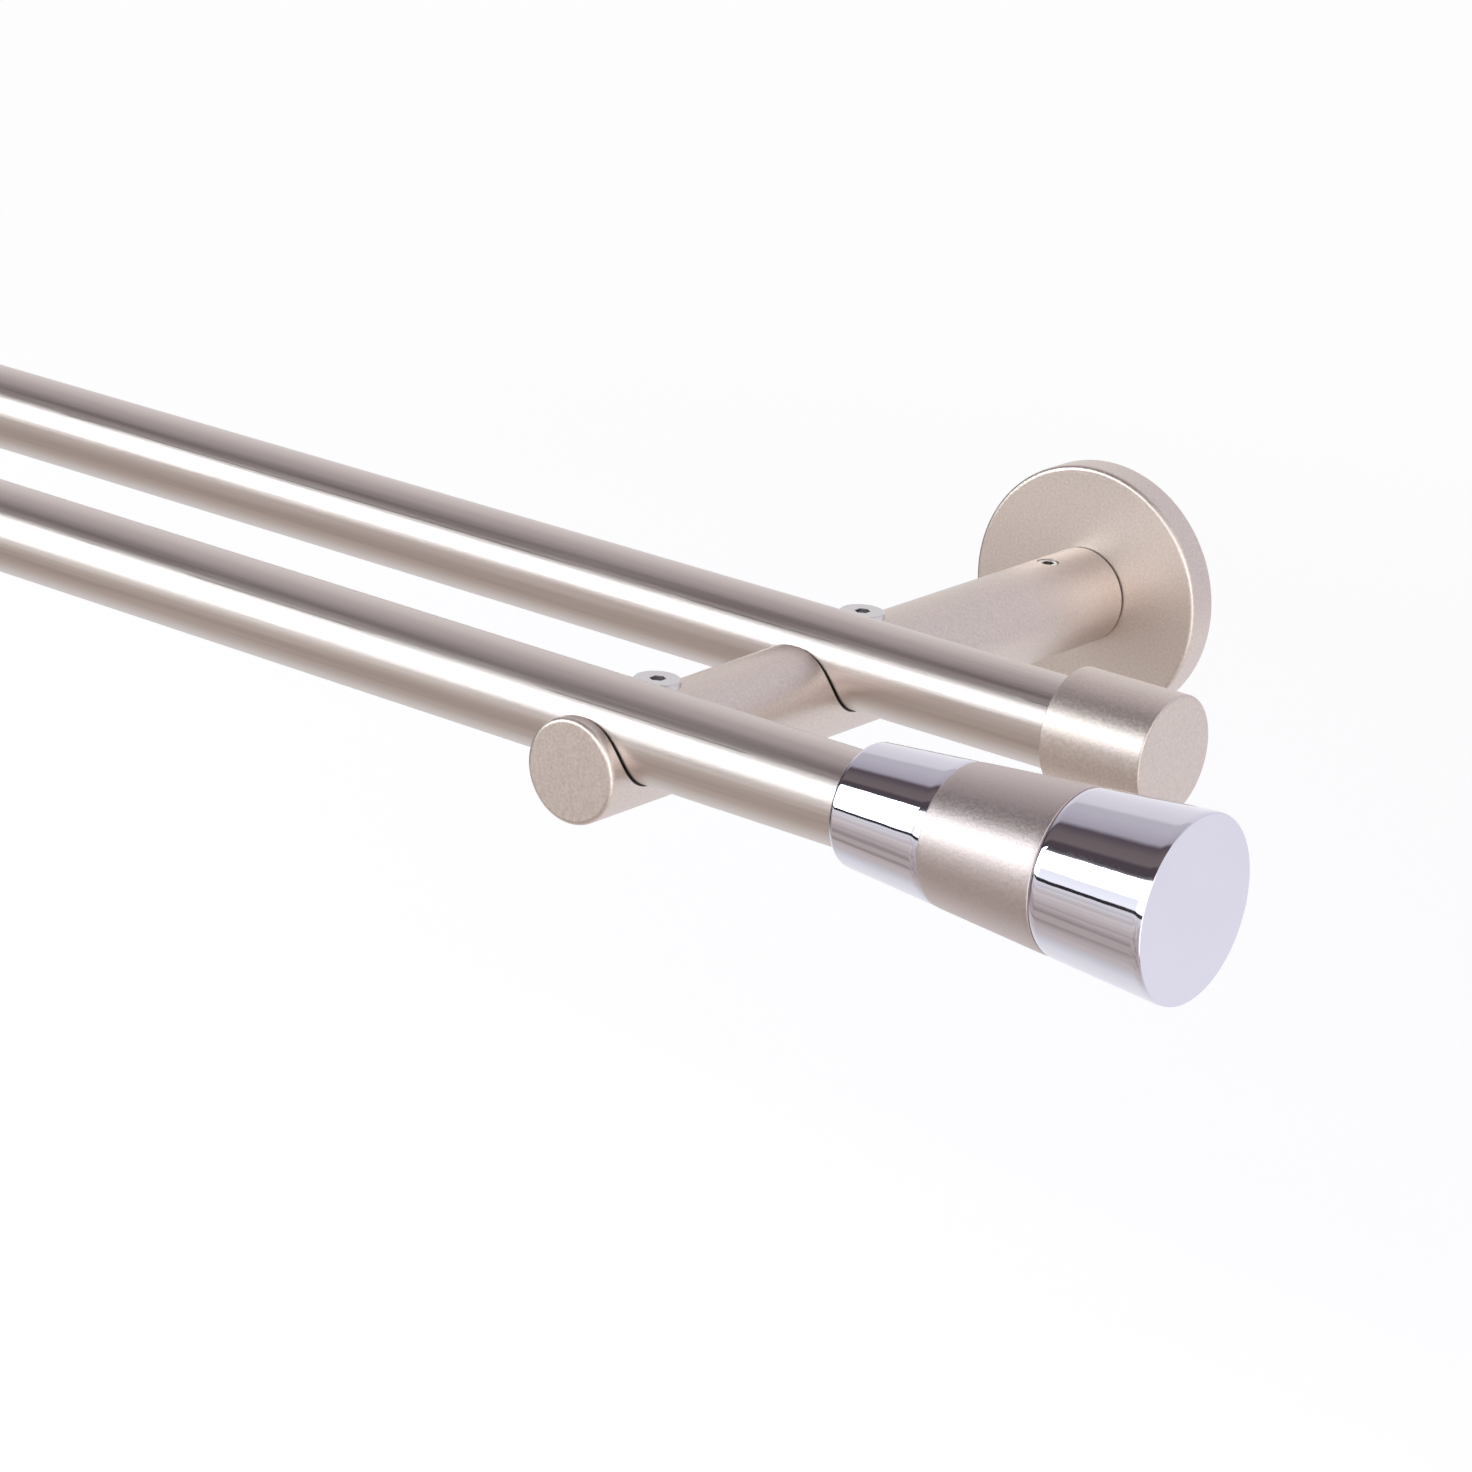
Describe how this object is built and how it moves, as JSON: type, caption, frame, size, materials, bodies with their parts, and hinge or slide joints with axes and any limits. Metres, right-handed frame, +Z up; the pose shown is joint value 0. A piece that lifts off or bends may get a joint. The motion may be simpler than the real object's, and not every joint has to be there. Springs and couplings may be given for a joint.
{
  "type": "double curtain pole",
  "caption": "Double curtain pole: a front and a rear tube clamped on round wall arms, with conical finials in front and plain end caps behind.",
  "frame": {"origin": "on the wall plane, midway between the two brackets, at the height of the arms' axes", "axes": "+X along the poles, +Y into the wall, +Z up; the room is towards -Y"},
  "size_m": [1.316, 0.1979, 0.0608],
  "materials": {
    "satin_nickel": "satin nickel plate",
    "chrome_plate": "polished chrome plate",
    "nickel_plated_screw": "pale satin plate",
    "zinc_plated_steel": "dull zinc plate"
  },
  "bodies": {
    "root": {"rear_pole": "satin_nickel", "front_pole": "satin_nickel", "right_wall_plate": "zinc_plated_steel", "right_wall_cover": "satin_nickel", "right_bracket_arm": "satin_nickel", "right_arm_grub_screw": "zinc_plated_steel", "right_rear_clamp_screw": "nickel_plated_screw", "right_front_clamp_screw": "nickel_plated_screw", "right_finial_collar": "chrome_plate", "right_finial_band": "satin_nickel", "right_finial_end": "chrome_plate", "right_finial_grub_screw": "zinc_plated_steel", "right_end_cap": "satin_nickel", "right_end_cap_grub_screw": "zinc_plated_steel", "left_wall_plate": "zinc_plated_steel", "left_wall_cover": "satin_nickel", "left_bracket_arm": "satin_nickel", "left_arm_grub_screw": "zinc_plated_steel", "left_rear_clamp_screw": "nickel_plated_screw", "left_front_clamp_screw": "nickel_plated_screw", "left_finial_collar": "chrome_plate", "left_finial_band": "satin_nickel", "left_finial_end": "chrome_plate", "left_finial_grub_screw": "zinc_plated_steel", "left_end_cap": "satin_nickel", "left_end_cap_grub_screw": "zinc_plated_steel"}
  },
  "joints": []
}
